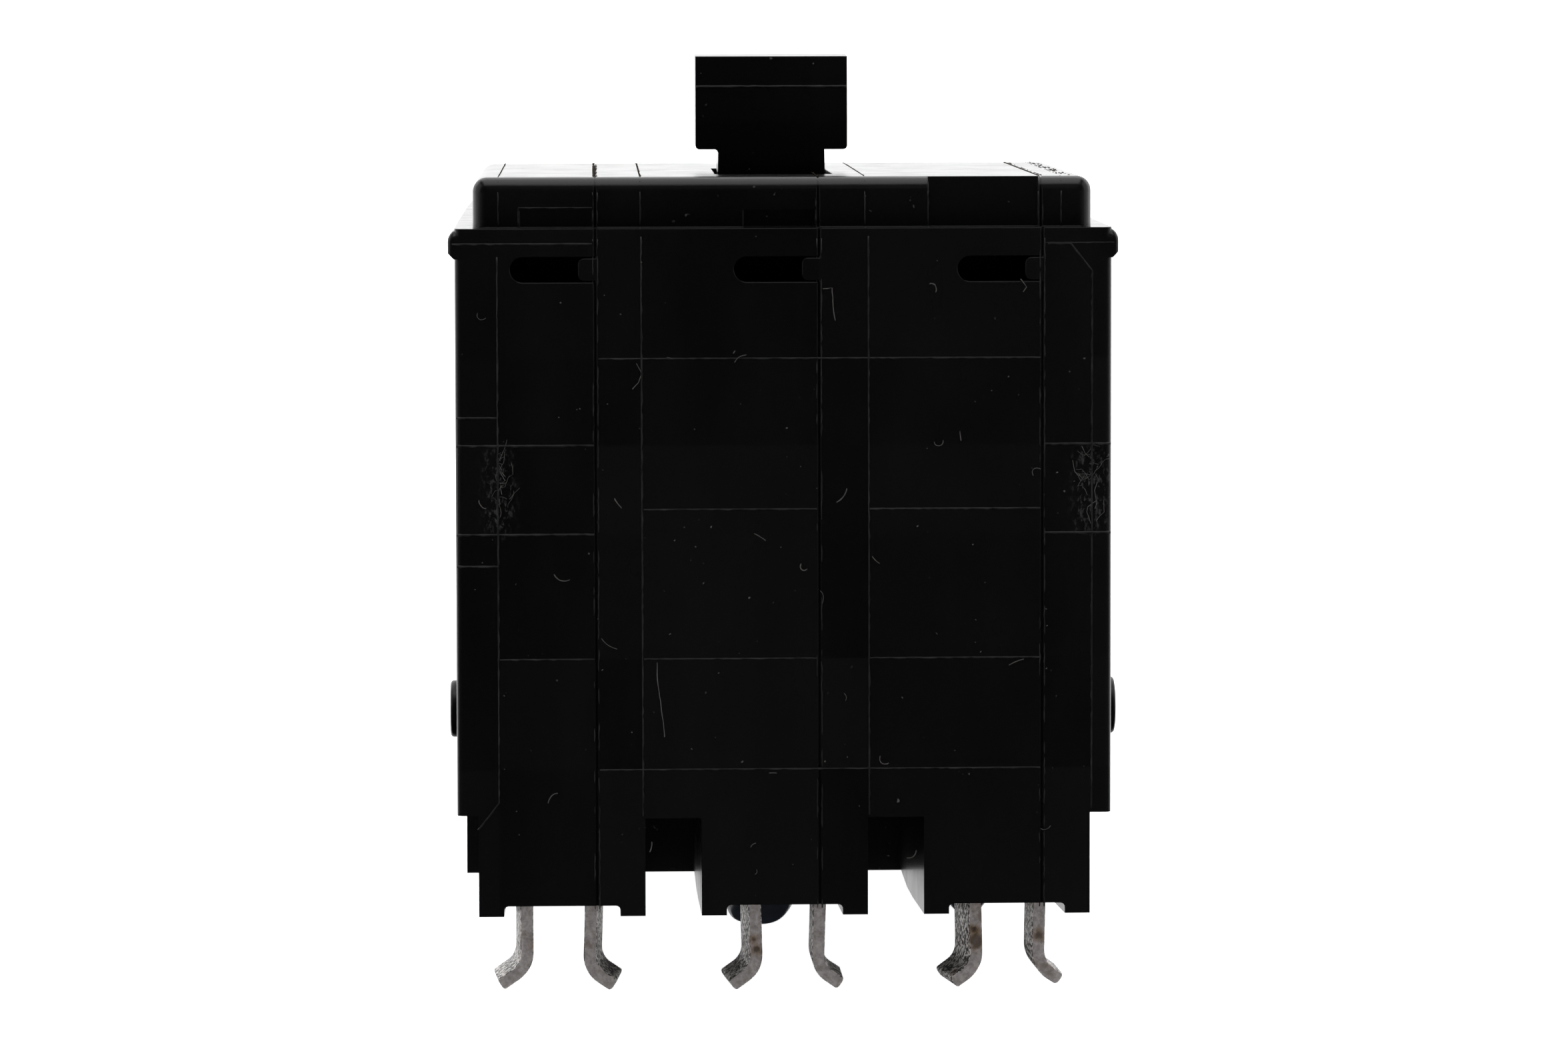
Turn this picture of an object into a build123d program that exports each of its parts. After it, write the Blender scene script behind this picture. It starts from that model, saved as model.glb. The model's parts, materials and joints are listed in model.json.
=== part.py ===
"""Three-pole plug-on molded case breaker, closed up, with its handle in mid travel.

Frame: millimetres. +X runs across the poles, -Y is the line end with the plug-on jaws,
+Y is the load end with the wire lugs, and +Z points up to the handle. The origin is
below the middle of the case, in the plane that the jaw tips and the rail foot stand on.
Heights in this file are drawn from a datum that save() lifts to its place over that plane.
Outlines in the (Y, Z) plane are lists of corners; what repeats per pole is a function.
"""

from math import cos, radians, sin
import os

from build123d import *

# ---- driving dimensions -------------------------------------------------------------
POLE_PITCH = 19.05
POLES = (-POLE_PITCH, 0.0, POLE_PITCH)
LENGTH = 79.2
DATUM_HEIGHT = 0.6
LINE_END, LOAD_END = -LENGTH / 2, LENGTH / 2
BODY_SIDE = 28.0
FLANGE_SIDE = 3 * POLE_PITCH / 2
FLANGE_TOP, FLANGE_UNDER = 65.3, 62.7
FLANGE_REAR = 28.5
NOSE_SIDES, NOSE_TOP = (-26.5, 26.45), 69.6
NOSE_FRONT, NOSE_REAR = LINE_END + 2.0, 5.4
SHOULDER_TOP = 54.0
SEAM_OFFSET = 3.0
SEAMS = tuple(pole + SEAM_OFFSET for pole in POLES)

# underside: feet round the jaws, cross wall behind them, rail foot at the load end
TOE_BOTTOM = 6.4
WALL_BOTTOM = 4.6
CROSS_WALL = LINE_END + 36.0
FOOT_HALF, FOOT_WALL = 7.12, 2.15
FOOT_HOLLOW = FOOT_HALF - FOOT_WALL
FEET_TOP, SIDE_CUT_TOP = 14.8, 15.1
END_WALL = 1.7
NOTCH_TOP, LIP_TOP = 8.0, 3.4
NOTCH_INNER, LIP_FRONT = 31.0, 36.0

# chambers
CHAMBER_HALF, NOSE_HOLLOW_HALF = 7.6, 6.1
CHAMBER_FLOOR, CHAMBER_CEILING = 16.6, 63.6
CHAMBER_LINE, CHAMBER_LOAD = LINE_END + END_WALL, 22.5
NOSE_CEILING = NOSE_TOP - END_WALL
POCKET_HALF, POCKET_FLOOR, POCKET_TOP = 5.3, 29.0, 43.5
POCKET_INNER = 25.5

# pivots and fixings, as (Y, Z)
HANDLE_X, HANDLE_PIVOT = -0.55, (-20.5, 52.5)
ARM_PIVOT = (-15.0, 42.0)
CRADLE_PIVOT = (12.0, 38.0)
TRIP_BAR_AXIS = (1.5, 26.0)
RIVETS = ((LINE_END + 4.5, 23.8), (20.0, 58.0), (17.0, 12.8))
SHAFT_R, TRIP_BAR_R, PIN_R, RIVET_R = 2.0, 1.8, 1.2, 1.6
RUNNING = 0.05
BOSS_R, RIVET_HEAD_R, RIVET_HEAD_H = 2.6, 2.45, 0.6
PIN_REACH = 8.5

# rest angles: handle leans to the line end, contact arm stands half open
HANDLE_LEAN, ARM_OPEN = 2.0, 12.0

# line side
JAW_T, JAW_GAP = 1.25, 4.3
JAW_FRONT, JAW_DEPTH, JAW_SPLAY = LINE_END + 1.8, 5.6, 5.0
JAW_CENTRES = (POLES[0] - 0.3, 0.27, POLES[2] + 0.19)
KNEE_Z, JAW_FLARE, JAW_DROP, KNEE_R = 1.5, 2.1, 1.62, 2.0
CONTACT_Z, CONTACT_R = 27.0, 2.3
FIXED_FACE, CONTACT_T = -28.8, 1.2
CALIBRATION_Y = LINE_END + 22.0

# load side
STRAP_T, STRAP_HALF = 1.2, 3.0
LUG_Y, LUG_HALF_X, LUG_HALF_Y, LUG_H = 32.0, 5.0, 5.2, 12.0
LUG_BOTTOM = POCKET_FLOOR + STRAP_T
WIRE_R, WIRE_Z = 3.5, LUG_BOTTOM + 5.2
SCREW_R, SCREW_HEAD_R, SCREW_TIP, SCREW_HEAD_Z = 2.1, 3.7, 39.2, 47.0
WELL_R = 4.3


# ---- builders shared by the pieces ---------------------------------------------------
def block(x, y, z, mode=Mode.ADD):
    """Box given by its low and high value on each axis."""
    with Locations(((x[0] + x[1]) / 2, (y[0] + y[1]) / 2, (z[0] + z[1]) / 2)):
        Box(x[1] - x[0], y[1] - y[0], z[1] - z[0], mode=mode)


def around(centre, half):
    """Low and high value of a span centred on a place."""
    return centre - half, centre + half


def rod(x, centre, radius, mode=Mode.ADD):
    """Cylinder along X between two X values, centred on (Y, Z)."""
    with Locations(Location(((x[0] + x[1]) / 2, *centre), (0, 90, 0))):
        Cylinder(radius, x[1] - x[0], mode=mode)


def post(x, y, z, radius, mode=Mode.ADD):
    """Cylinder along Z between two Z values."""
    with Locations((x, y, (z[0] + z[1]) / 2)):
        Cylinder(radius, z[1] - z[0], mode=mode)


def plate(x, corners, mode=Mode.ADD):
    """Closed (Y, Z) outline, extruded between two X values."""
    with BuildSketch(Plane.YZ.offset(x[0])) as outline:
        with BuildLine():
            Polyline(*corners, close=True)
        make_face()
    extrude(to_extrude=outline.sketch, amount=x[1] - x[0], mode=mode)


def pivot_plane(x, pivot, angle):
    """Plane across X at a pivot, with its first axis turned up from +Y by an angle."""
    turn = radians(angle)
    return Plane(origin=(x, *pivot), x_dir=(0, cos(turn), sin(turn)), z_dir=(1, 0, 0))


def save(builder, name):
    """Lift a finished piece to its height, label it and write its STEP file."""
    piece = builder.part.moved(Location((0, 0, DATUM_HEIGHT)))
    piece.label = name
    export_step(piece, f"parts/{name}.step")


# ---- casing: one block, cut later at the three seams ---------------------------------
BODY_OUTLINE = (
    (LINE_END, TOE_BOTTOM),
    (LINE_END, FLANGE_UNDER),
    (LINE_END, FLANGE_TOP),
    (FLANGE_REAR, FLANGE_TOP),
    (FLANGE_REAR, SHOULDER_TOP),
    (LOAD_END, SHOULDER_TOP),
    (LOAD_END, NOTCH_TOP),
    (NOTCH_INNER, NOTCH_TOP),
    (NOTCH_INNER, LIP_TOP),
    (LIP_FRONT, LIP_TOP),
    (LIP_FRONT, -DATUM_HEIGHT),
    (30.2, -DATUM_HEIGHT),
    (27.2, WALL_BOTTOM),
    (-13.6, WALL_BOTTOM),
    (-22.6, 5.1),
)
CHAMBER_OUTLINE = (
    (CHAMBER_LINE, CHAMBER_FLOOR),
    (CHAMBER_LINE, CHAMBER_CEILING),
    (CHAMBER_LOAD, CHAMBER_CEILING),
    (CHAMBER_LOAD, CHAMBER_FLOOR),
    (14.0, CHAMBER_FLOOR),
    (14.0, 7.5),
    (0.0, 7.5),
    (0.0, CHAMBER_FLOOR),
)
VENT_Z, VENT_HALF, VENT_START = 61.8, 1.1, 4.25
TAB_LENGTH, TAB_HALF, TAB_DEPTH = 1.45, 0.95, 1.4
GROOVE = 0.22


def seam_groove(x):
    """Shallow V where two housing pieces meet, on the faces that show."""
    upright = (
        (LINE_END, TOE_BOTTOM - 1, FLANGE_TOP),
        (NOSE_FRONT, FLANGE_TOP, NOSE_TOP),
        (NOSE_REAR, FLANGE_TOP, NOSE_TOP),
        (FLANGE_REAR, SHOULDER_TOP, FLANGE_TOP),
        (LOAD_END, NOTCH_TOP, SHOULDER_TOP),
    )
    for y, low, high in upright:
        with Locations(Location((x, y, (low + high) / 2), (0, 0, 45))):
            Box(GROOVE, GROOVE, high - low, mode=Mode.SUBTRACT)
    level = (
        (FLANGE_TOP, LINE_END, NOSE_FRONT),
        (NOSE_TOP, NOSE_FRONT, NOSE_REAR),
        (FLANGE_TOP, NOSE_REAR, FLANGE_REAR),
        (SHOULDER_TOP, FLANGE_REAR, LOAD_END),
    )
    for z, low, high in level:
        with Locations(Location((x, (low + high) / 2, z), (0, 45, 0))):
            Box(GROOVE, high - low, GROOVE, mode=Mode.SUBTRACT)


with BuildPart() as flange:
    block(around(0, FLANGE_SIDE), (LINE_END, FLANGE_REAR), (FLANGE_UNDER, FLANGE_TOP))
    under = flange.faces().sort_by(Axis.Z)[0].edges().filter_by(Axis.Y)
    chamfer(under, FLANGE_SIDE - BODY_SIDE - 0.05)
    fillet(flange.edges().filter_by(Axis.Z), 0.4)
    fillet(flange.faces().sort_by(Axis.Z)[-1].edges(), 1.1)

with BuildPart() as nose:
    block(NOSE_SIDES, (NOSE_FRONT, NOSE_REAR), (FLANGE_TOP - 1, NOSE_TOP))
    fillet(nose.edges().filter_by(Axis.Z), 1.3)
    fillet(nose.faces().sort_by(Axis.Z)[-1].edges(), 1.25)
    # shallow recesses in the end face, one behind each vent, the last one full height
    for pole, left, depth, height in ((0, 3.45, 0.15, 1.5), (1, 3.4, 0.7, 1.5), (2, 6.65, 0.3, 6.0)):
        width = (POLES[pole] - left, SEAMS[pole] - 0.2)
        recess = (NOSE_FRONT - 1, NOSE_FRONT + depth)
        block(width, recess, (FLANGE_TOP, FLANGE_TOP + height), Mode.SUBTRACT)
    # the last recess keeps a square top edge
    block(width, (NOSE_FRONT + depth, NOSE_FRONT + 2.0), (FLANGE_TOP, NOSE_TOP))

with BuildPart() as casing:
    plate(around(0, BODY_SIDE), BODY_OUTLINE)
    fillet(casing.edges().filter_by(Axis.Z).group_by(Axis.Y)[0], 0.6)
    fillet(casing.edges().filter_by(Axis.Z).group_by(Axis.Y)[-1], 0.6)
    add(flange.part)
    add(nose.part)
    for gap in (-POLE_PITCH / 2, POLE_PITCH / 2):
        width = around(gap, POLE_PITCH / 2 - FOOT_HALF)
        block(width, (LINE_END - 1, CROSS_WALL), (-1, FEET_TOP), Mode.SUBTRACT)
    for low in (-BODY_SIDE - 1, POLES[2] + FOOT_HALF):
        width = (low, low + BODY_SIDE + 1 - POLES[2] - FOOT_HALF)
        block(width, (LINE_END - 1, CROSS_WALL), (-1, SIDE_CUT_TOP), Mode.SUBTRACT)
    for seam in SEAMS:
        seam_groove(seam)


def low_edge(x):
    """Cut in the lower edge of the end wall, between a foot's toes."""
    with BuildPart() as cut:
        block(around(x, FOOT_HOLLOW), (LINE_END - 1, LINE_END + 1.6), (-1, TOE_BOTTOM + 0.9))
        fillet(cut.faces().sort_by(Axis.Z)[-1].edges().filter_by(Axis.Y), 0.4)
    return cut.part


def pole_void(x):
    """Everything hollow in one pole, cut from both housing pieces that enclose it."""
    span = around(x, CHAMBER_HALF)
    hollow = around(x, FOOT_HOLLOW)
    with BuildPart() as void:
        plate(span, CHAMBER_OUTLINE)
        for centre in RIVETS:
            rod(span, centre, BOSS_R, Mode.SUBTRACT)
        nose_room = (NOSE_FRONT + END_WALL, NOSE_REAR - END_WALL)
        block(around(x, NOSE_HOLLOW_HALF), nose_room, (CHAMBER_CEILING - 1, NOSE_CEILING))
        # vent through the end wall, round at its closed end
        vent = (LINE_END - 1, CHAMBER_LINE + 1)
        block((x - VENT_START + VENT_HALF, x + SEAM_OFFSET), vent, around(VENT_Z, VENT_HALF))
        closed_end = (x - VENT_START + VENT_HALF, sum(vent) / 2, VENT_Z)
        with Locations(Location(closed_end, (90, 0, 0))):
            Cylinder(VENT_HALF, vent[1] - vent[0])
        # underside: low edge of the end wall, jaw hollow, recess over the calibration screw
        add(low_edge(x), mode=Mode.ADD)
        block(hollow, (LINE_END + 1.5, LINE_END + 16.6), (-1, 14.0))
        block(hollow, (LINE_END + 16.6, CROSS_WALL), (-1, 7.6))
        block(around(x, 4.4), (LINE_END + 1.5, LINE_END + 12.7), (13.0, CHAMBER_FLOOR + 1))
        post(x, CALIBRATION_Y, (7.0, CHAMBER_FLOOR + 1), 1.55)
        # terminal pocket with its screw well, and the slot that the strap comes through
        block(around(x, POCKET_HALF), (POCKET_INNER, LOAD_END + 1), (POCKET_FLOOR, POCKET_TOP))
        post(x, LUG_Y, (POCKET_TOP - 1, SHOULDER_TOP + 1), WELL_R)
        strap_slot = (CHAMBER_LOAD - 1, POCKET_INNER + 1)
        block(around(x, STRAP_HALF + 0.1), strap_slot, (POCKET_FLOOR, LUG_BOTTOM + 0.1))
        # seats of the two pivot pins
        for pivot in (ARM_PIVOT, CRADLE_PIVOT):
            rod(around(x, PIN_REACH + 0.1), pivot, PIN_R + RUNNING)
    return void.part


SLOT_HALF, SLOT_SPAN = 5.1, (-30.2, -12.8)
WINDOW_HALF, WINDOW_Y = 2.0, -6.0
with BuildPart() as common_void:
    rod(around(0, POLES[2] + 5.4), HANDLE_PIVOT, SHAFT_R + RUNNING)
    rod(around(0, POLES[2] + 6.7), TRIP_BAR_AXIS, TRIP_BAR_R + RUNNING)
    for centre in RIVETS:
        rod(around(0, FLANGE_SIDE + 1), centre, RIVET_R + RUNNING)
    # handle slot and trip window in the roof of the nose
    block(around(HANDLE_X, SLOT_HALF), SLOT_SPAN, (NOSE_CEILING - 1, NOSE_TOP + 1))
    block(around(0, WINDOW_HALF), around(WINDOW_Y, WINDOW_HALF), (NOSE_CEILING - 1, NOSE_TOP + 1))

EDGES = (-FLANGE_SIDE - 1, *SEAMS, FLANGE_SIDE + 1)
HOUSINGS = ("end_base", "mid_base_left", "mid_base_right", "end_cover")
voids = [pole_void(pole) for pole in POLES]


def housing(number):
    """One housing piece: a slice of the casing, hollowed, with its vent tab."""
    low, high = EDGES[number], EDGES[number + 1]
    with BuildPart() as piece:
        add(casing.part)
        block((low, high), around(0, LENGTH), (-5, 90), Mode.INTERSECT)
        for void in voids[max(number - 1, 0) : number + 1]:
            add(void, mode=Mode.SUBTRACT)
        add(common_void.part, mode=Mode.SUBTRACT)
        if number:
            tab = (low - TAB_LENGTH, low + 1.0)
            block(tab, (LINE_END, LINE_END + TAB_DEPTH), around(VENT_Z, TAB_HALF))
            corners = piece.edges().filter_by(Axis.Y).group_by(Axis.X)[0]
            fillet(corners.filter_by_position(Axis.Z, VENT_Z - 1, VENT_Z + 1), 0.5)
    return piece


os.makedirs("parts", exist_ok=True)
for number, name in enumerate(HOUSINGS):
    save(housing(number), name)

# ---- rivets through all four housing pieces -------------------------------------------
with BuildPart() as case_rivets:
    for centre in RIVETS:
        rod(around(0, BODY_SIDE), centre, RIVET_R)
        for side in (-1, 1):
            inner, outer = side * BODY_SIDE, side * (BODY_SIDE + RIVET_HEAD_H)
            rod((min(inner, outer), max(inner, outer)), centre, RIVET_HEAD_R)
    rims = case_rivets.edges().filter_by(GeomType.CIRCLE).group_by(Axis.X)
    fillet(rims[0] + rims[-1], 0.3)
save(case_rivets, "case_rivets")

# ---- handle group: T handle, cross shaft and the cranks of the outer poles ---------------
# both outlines have their second axis up the handle, from its pivot
PADDLE_HALF, NECK_HALF, NECK_FLARE = 6.66, 4.66, 4.75
GRIP_T, GRIP_TOP_T, PADDLE_BOTTOM, GRIP_BEND, GRIP_TOP = 2.9, 2.45, 19.2, 21.7, 27.35
SHIELD_OUTER, SHIELD_INNER, SHIELD_REACH, GRIP_FOOT = 15.0, 13.8, 38.0, 14.4

across = pivot_plane(HANDLE_X, HANDLE_PIVOT, HANDLE_LEAN)
facing = Plane(origin=across.origin, x_dir=(1, 0, 0), z_dir=-across.x_dir)
with BuildPart() as grip:
    with BuildSketch(across) as section:
        with BuildLine():
            rise = ((GRIP_T, GRIP_FOOT), (GRIP_T, GRIP_BEND), (GRIP_TOP_T, GRIP_TOP))
            Polyline(*rise, *((-t, v) for t, v in reversed(rise)), close=True)
        make_face()
        fillet(section.vertices().sort_by(Axis.Z)[-2:], 1.1)
    extrude(to_extrude=section.sketch, amount=PADDLE_HALF, both=True)
    with BuildSketch(facing) as tee:
        with BuildLine():
            neck = ((NECK_FLARE, GRIP_FOOT), (NECK_HALF, PADDLE_BOTTOM))
            wing = ((PADDLE_HALF, PADDLE_BOTTOM), (PADDLE_HALF, GRIP_TOP + 1))
            rise = (*neck, *wing)
            Polyline(*rise, *((-w, v) for w, v in reversed(rise)), close=True)
        make_face()
        under_wings = tee.vertices().sort_by(Axis.Z)[2:6]
        fillet(under_wings, 0.35)
    extrude(to_extrude=tee.sketch, amount=GRIP_T + 1, both=True, mode=Mode.INTERSECT)

with BuildPart() as handle:
    with BuildSketch(across) as hub_and_shield:
        Circle(5.0)
        with Locations((0, GRIP_FOOT / 2)):
            Rectangle(2 * GRIP_T, GRIP_FOOT)
        # curved shield that closes the slot from inside
        with BuildLine():
            reach = 90 - SHIELD_REACH
            outer = CenterArc((0, 0), SHIELD_OUTER, reach, 2 * SHIELD_REACH)
            inner = CenterArc((0, 0), SHIELD_INNER, reach, 2 * SHIELD_REACH)
            Line(outer @ 0, inner @ 0)
            Line(outer @ 1, inner @ 1)
        make_face()
    extrude(to_extrude=hub_and_shield.sketch, amount=NECK_FLARE, both=True)
    add(grip.part)
    rod(around(HANDLE_X, NECK_FLARE + 1), HANDLE_PIVOT, SHAFT_R + 0.02, Mode.SUBTRACT)
save(handle, "handle")

with BuildPart() as handle_shaft:
    rod(around(0, POLES[2] + 5.3), HANDLE_PIVOT, SHAFT_R)
save(handle_shaft, "handle_shaft")


def crank(x):
    """Inner crank of an outer pole, keyed to the cross shaft."""
    with BuildPart() as piece:
        with BuildSketch(pivot_plane(x, HANDLE_PIVOT, HANDLE_LEAN)) as outline:
            Circle(4.6)
            with Locations((0, 6.0)):
                SlotOverall(14.0, 5.0, rotation=90)
        extrude(to_extrude=outline.sketch, amount=4.0, both=True)
        rod(around(x, 5.0), HANDLE_PIVOT, SHAFT_R + 0.02, Mode.SUBTRACT)
    return piece


save(crank(POLES[0]), "handle_crank_left")
save(crank(POLES[2]), "handle_crank_right")

# ---- trip bar, trip flag and the window over it --------------------------------------------
with BuildPart() as trip_bar:
    rod(around(0, POLES[2] + 6.5), TRIP_BAR_AXIS, TRIP_BAR_R)
    for pole in POLES:
        finger = ((-3.2, 28.8), (-3.2, 30.4), (0.4, 30.4), (2.6, 27.0), (0.2, 26.0))
        plate(around(pole, 1.5), finger)
save(trip_bar, "trip_bar")

FLAG_REST = WINDOW_Y + 4.6
with BuildPart() as trip_flag:
    block(around(0, 2.8), around(FLAG_REST, 2.3), (NOSE_CEILING - 1.6, NOSE_CEILING - 0.4))
    block(around(0, 1.4), (FLAG_REST + 1.2, FLAG_REST + 2.3), (CHAMBER_CEILING - 2, NOSE_CEILING - 0.4))
save(trip_flag, "trip_flag")

LENS_HALF = WINDOW_HALF - 0.04
with BuildPart() as trip_window:
    block(around(0, LENS_HALF), around(WINDOW_Y, LENS_HALF), (NOSE_TOP - 1.3, NOSE_TOP - 0.15))
save(trip_window, "trip_window")


# ---- line side of each pole ------------------------------------------------------------------
def line_jaw(number):
    """Plug-on jaw: two flared prongs under a bridge, and the tab of the fixed contact."""
    x = JAW_CENTRES[number]
    with BuildPart() as piece:
        reach = JAW_GAP / 2 + JAW_T
        rear = JAW_FRONT + JAW_DEPTH
        bridge = (JAW_FRONT + 1.0, FIXED_FACE + 0.7)
        block(around(x, 6.0), bridge, (CHAMBER_FLOOR, CHAMBER_FLOOR + JAW_T))
        for side in (-1, 1):
            middle = x + side * (JAW_GAP + JAW_T) / 2
            with BuildSketch(Plane.XZ.offset(-JAW_FRONT)) as strip:
                with BuildLine():
                    knee = (middle, KNEE_Z)
                    tip = (middle + side * JAW_FLARE, KNEE_Z - JAW_DROP)
                    FilletPolyline((middle, CHAMBER_FLOOR + 0.6), knee, tip, radius=KNEE_R)
                trace(line_width=JAW_T)
            splay = radians(JAW_SPLAY)
            extrude(to_extrude=strip.sketch, amount=JAW_DEPTH, dir=(side * sin(splay), cos(splay), 0))
        block(around(x, reach + 3), (JAW_FRONT - 1, rear + 1), (-3, -DATUM_HEIGHT), Mode.SUBTRACT)
        tab_rear = FIXED_FACE - CONTACT_T
        block(around(x, 2.6), (tab_rear - 1.4, tab_rear), (CHAMBER_FLOOR, CONTACT_Z + 3.0))
    return piece


def contact_button(x, low, high, z):
    """Round contact tip whose axis lies along Y."""
    with BuildPart() as piece:
        with Locations(Location((x, (low + high) / 2, z), (90, 0, 0))):
            Cylinder(CONTACT_R, high - low)
    return piece


def arc_plates(x):
    """Stack of five notched steel plates on the end wall, above the fixed contact."""
    with BuildPart() as piece:
        for level in range(5):
            z = 33.0 + 4.5 * level
            block(around(x, 6.5), (CHAMBER_LINE, -31.5), (z, z + 1.0))
        block(around(x, 1.9), (-34.5, -31.0), (32, 53), Mode.SUBTRACT)
    return piece


# ---- contact arm, its tip, spring and braid ------------------------------------------------------
ARM_OUTLINE = ((-12.6, -18.0), (-12.6, -11.5), (-3.0, -0.6), (2.4, -1.8), (-9.9, -12.6), (-9.9, -18.0))
ARM_HALF = 1.25
SPRING_Z, SPRING_R, SPRING_WIRE = 44.4, 1.45, 0.3
SPRING_ENDS = (-11.9, 3.2)


def contact_arm(x):
    """Moving blade, standing open; its outline is drawn closed and turned."""
    with BuildPart() as piece:
        with BuildSketch(pivot_plane(x, ARM_PIVOT, ARM_OPEN)) as outline:
            with BuildLine():
                Polyline(*ARM_OUTLINE, close=True)
            make_face()
            Circle(3.0)
        extrude(to_extrude=outline.sketch, amount=ARM_HALF, both=True)
        block(around(x, ARM_HALF), (-14.6, SPRING_ENDS[0]), (43.2, 46.2))
        rod(around(x, 3), ARM_PIVOT, PIN_R + RUNNING, Mode.SUBTRACT)
    return piece


def moving_contact(x):
    """Contact tip on the blade's line side; closed, it meets the fixed tip."""
    with BuildPart() as piece:
        face = -12.6
        with BuildSketch(pivot_plane(x, ARM_PIVOT, ARM_OPEN)) as side_view:
            with Locations((face - 0.575, CONTACT_Z - ARM_PIVOT[1])):
                Rectangle(1.15, 2 * CONTACT_R)
        extrude(to_extrude=side_view.sketch, amount=1.9, both=True)
    return piece


def main_spring(x):
    """Extension spring between the blade's ear and the cradle."""
    start, end = SPRING_ENDS[0] + 1.1 * SPRING_WIRE, SPRING_ENDS[1] - 1.1 * SPRING_WIRE
    with BuildPart() as piece:
        with BuildLine() as path:
            base = (x, start, SPRING_Z)
            Helix(pitch=1.3, height=end - start, radius=SPRING_R, center=base, direction=(0, 1, 0))
        with BuildSketch(Plane(origin=path.line @ 0, z_dir=path.line % 0)) as wire:
            Circle(SPRING_WIRE)
        sweep(sections=wire.sketch, path=path.line, is_frenet=True)
    return piece


def flex_braid(x):
    """Copper braid from the bimetal's head to the side of the blade."""
    with BuildPart() as piece:
        with BuildLine(Plane.YZ.offset(x + ARM_HALF + 0.85)) as path:
            FilletPolyline((-12.5, 36.0), (-12.5, 38.6), (-18.0, 38.6), radius=2.0)
        with BuildSketch(Plane(origin=path.line @ 0, z_dir=path.line % 0)) as section:
            Circle(0.8)
        sweep(sections=section.sketch, path=path.line)
    return piece


# ---- cradle, bimetal, magnet and armature ----------------------------------------------------------
CRADLE_OUTLINE = (
    (-1.6, 33.5),
    (-1.6, 34.8),
    (-0.6, 34.9),
    (2.0, 36.4),
    (SPRING_ENDS[1], 43.0),
    (SPRING_ENDS[1], 46.2),
    (5.6, 46.2),
    (13.6, 40.8),
    (12.6, 34.9),
    (2.0, 33.8),
)


def cradle(x):
    """Trip lever, with its nose just clear of the armature's lip."""
    with BuildPart() as piece:
        plate(around(x, 0.8), CRADLE_OUTLINE)
        rod(around(x, 0.8), CRADLE_PIVOT, 3.2)
        rod(around(x, 2), CRADLE_PIVOT, PIN_R + RUNNING, Mode.SUBTRACT)
    return piece


def bimetal(x):
    """Heat-sensing strip, welded upright to the load strap."""
    with BuildPart() as piece:
        block(around(x, 3.1), (-13.0, -12.0), (CHAMBER_FLOOR + STRAP_T, 36.0))
    return piece


def magnet_yoke(x):
    """Steel channel riveted round the bimetal, open to the armature."""
    with BuildPart() as piece:
        block(around(x, 5.2), (-14.2, -6.6), (20.0, 32.0))
        block(around(x, 4.0), (-13.0, -6.0), (19.0, 33.0), Mode.SUBTRACT)
    return piece


def armature(x):
    """Steel plate that swings to the yoke on a fault, with the latch lip on top."""
    with BuildPart() as piece:
        lip = ((-4.6, 36.2), (-2.3, 36.2), (-2.3, 35.0), (-3.4, 35.0))
        plate(around(x, 5.2), ((-4.6, 19.0), *lip, (-3.4, 19.0)))
        rod(around(x, 5.2), (-4.0, 19.0), 0.9)
    return piece


# ---- load side of each pole ---------------------------------------------------------------------------
def load_strap(x):
    """Copper strap from the bimetal's foot, up the rear wall and out under the lug."""
    low, high = CHAMBER_FLOOR, LUG_BOTTOM
    rear, end = 20.0, LUG_Y + LUG_HALF_Y
    corners = (
        (CALIBRATION_Y - 2.0, low),
        (rear, low),
        (rear, high - STRAP_T),
        (end, high - STRAP_T),
        (end, high),
        (rear - STRAP_T, high),
        (rear - STRAP_T, low + STRAP_T),
        (CALIBRATION_Y - 2.0, low + STRAP_T),
    )
    with BuildPart() as piece:
        plate(around(x, STRAP_HALF), corners)
    return piece


def box_lug(x):
    """Lug body with a wire bore along Y and a tapped hole for the screw."""
    top = LUG_BOTTOM + LUG_H
    with BuildPart() as piece:
        block(around(x, LUG_HALF_X), around(LUG_Y, LUG_HALF_Y), (LUG_BOTTOM, top))
        fillet(piece.edges().filter_by(Axis.Z), 0.8)
        with Locations(Location((x, LUG_Y, WIRE_Z), (90, 0, 0))):
            Cylinder(WIRE_R, 4 * LUG_HALF_Y, mode=Mode.SUBTRACT)
        post(x, LUG_Y, (WIRE_Z, top + 1), SCREW_R + RUNNING, Mode.SUBTRACT)
    return piece


def terminal_screw(x):
    """Slotted clamp screw, backed off clear of the wire bore."""
    head_top = SCREW_HEAD_Z + 3.0
    with BuildPart() as piece:
        post(x, LUG_Y, (SCREW_TIP, SCREW_HEAD_Z + 0.5), SCREW_R)
        post(x, LUG_Y, (SCREW_HEAD_Z, head_top), SCREW_HEAD_R)
        fillet(piece.faces().sort_by(Axis.Z)[-1].edges(), 0.4)
        slots = (head_top - 1.4, head_top + 1)
        block(around(x, SCREW_HEAD_R + 1), around(LUG_Y, 0.6), slots, Mode.SUBTRACT)
        block(around(x, 0.6), around(LUG_Y, 2.4), slots, Mode.SUBTRACT)
    return piece


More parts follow.
